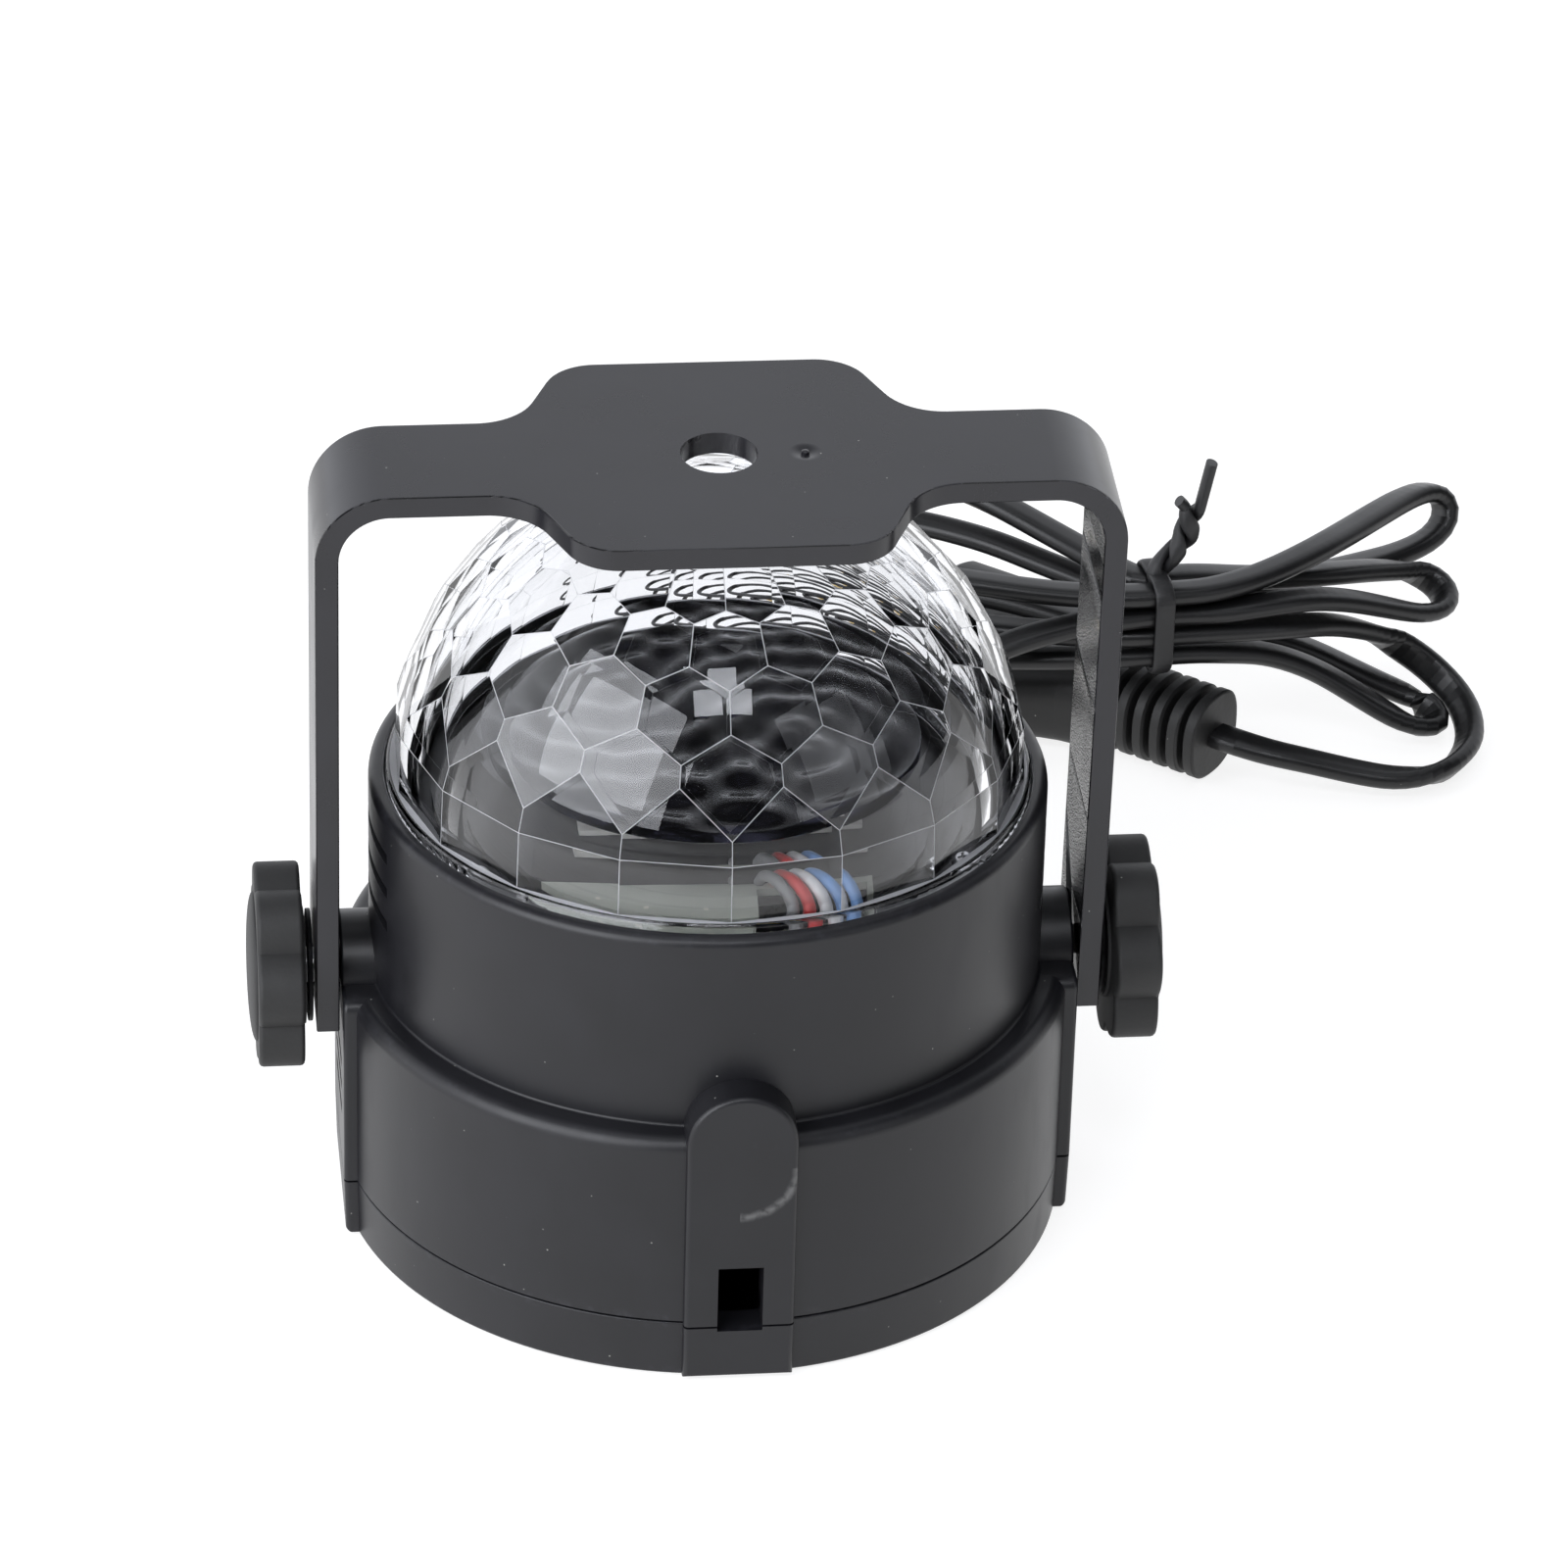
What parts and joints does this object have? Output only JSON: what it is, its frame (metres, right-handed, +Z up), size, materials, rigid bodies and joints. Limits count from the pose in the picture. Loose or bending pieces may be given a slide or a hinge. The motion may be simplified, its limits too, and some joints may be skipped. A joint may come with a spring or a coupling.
{
  "type": "water wave projector lamp",
  "caption": "Table-top water wave projector lamp: clear faceted dome on a round black casing, held in a tilting U-shaped bracket with star knobs, with its mains cord tied in a hank",
  "frame": {"origin": "centre of the feet's underside, on the surface that the lamp stands on, below the dome's axis", "axes": "+Z up along the dome's axis, +X along the bracket's pivot to the right-hand knob, -Y towards the front with the round-topped pad and its port; the cord leaves towards +Y"},
  "size_m": [0.1874, 0.2042, 0.1126],
  "materials": {
    "casing_plastic": "satin black",
    "bracket_plastic": "satin dark grey",
    "knob_plastic": "matt black",
    "clear_plastic": "polished clear",
    "carrier_plastic": "matt black",
    "white_board": "white solder mask",
    "green_board": "green solder mask",
    "chip_black": "moulded epoxy",
    "steel": "zinc plated",
    "brass": "turned",
    "rubber": "matt",
    "cord_vinyl": "satin",
    "white_nylon": "moulded",
    "yellow_tape": "polyester tape",
    "wire_grey": "insulated wire",
    "wire_red": "insulated wire",
    "wire_white": "insulated wire",
    "wire_blue": "insulated wire",
    "wire_brown": "insulated wire"
  },
  "bodies": {
    "casing": {"upper_casing": "casing_plastic", "base_cover": "casing_plastic", "rubber_foot_1": "rubber", "rubber_foot_2": "rubber", "rubber_foot_3": "rubber", "rubber_foot_4": "rubber", "base_screw_1": "steel", "base_screw_2": "steel", "base_screw_3": "steel", "base_screw_4": "steel", "carrier_screw_1": "steel", "carrier_screw_2": "steel", "carrier_screw_3": "steel", "motor_screw_1": "steel", "motor_screw_2": "steel", "faceted_dome": "clear_plastic", "lamp_carrier": "carrier_plastic", "light_board": "white_board", "red_emitter": "white_nylon", "green_emitter": "white_nylon", "blue_emitter": "white_nylon", "gear_motor": "steel", "control_board": "green_board", "infrared_receiver": "chip_black", "mains_transformer": "yellow_tape", "wire_connector": "white_nylon", "mains_capacitor": "cord_vinyl", "microphone": "steel", "grey_wire": "wire_grey", "red_wire": "wire_red", "white_wire": "wire_white", "blue_wire": "wire_blue", "brown_mains_core": "wire_brown", "blue_mains_core": "wire_blue", "left_insert": "brass", "right_insert": "brass", "cord_gland": "rubber", "cord_stretch": "cord_vinyl", "cord_hank": "cord_vinyl", "cord_tie": "cord_vinyl", "plug_body": "cord_vinyl", "plug_pin_near": "brass", "plug_pin_far": "brass"},
    "bracket": {"bracket": "bracket_plastic"},
    "left_washer": {"left_washer": "steel"},
    "left_knob": {"left_knob": "knob_plastic", "left_stud": "steel"},
    "right_washer": {"right_washer": "steel"},
    "right_knob": {"right_knob": "knob_plastic", "right_stud": "steel"},
    "wave_rotor": {"motor_shaft": "steel", "lens_hub": "white_nylon", "wave_lens": "clear_plastic"}
  },
  "joints": [
    {"name": "bracket_tilt", "type": "hinge", "parent": "casing", "child": "bracket", "pos_m": [0, 0, 0.0349], "axis": [1, 0, 0], "range_deg": [-92, 95]},
    {"name": "left_washer_slide", "type": "slide", "parent": "casing", "child": "left_washer", "axis": [-1, 0, 0], "range_m": [0, 0.0016]},
    {"name": "left_knob_turn", "type": "hinge", "parent": "left_washer", "child": "left_knob", "pos_m": [-0.0565, 0, 0.0349], "axis": [-1, 0, 0], "range_deg": [0, 720]},
    {"name": "right_washer_slide", "type": "slide", "parent": "casing", "child": "right_washer", "axis": [1, 0, 0], "range_m": [0, 0.0016]},
    {"name": "right_knob_turn", "type": "hinge", "parent": "right_washer", "child": "right_knob", "pos_m": [0.0565, 0, 0.0349], "axis": [1, 0, 0], "range_deg": [0, 720]},
    {"name": "wave_lens_spin", "type": "hinge", "parent": "casing", "child": "wave_rotor", "pos_m": [0, 0, 0.0675], "axis": [0, 0, 1], "continuous": true}
  ],
  "couplings": [
    {"joint": "left_washer_slide", "follows": "left_knob_turn", "m_per_rad": 0.00012732},
    {"joint": "right_washer_slide", "follows": "right_knob_turn", "m_per_rad": 0.00012732}
  ]
}
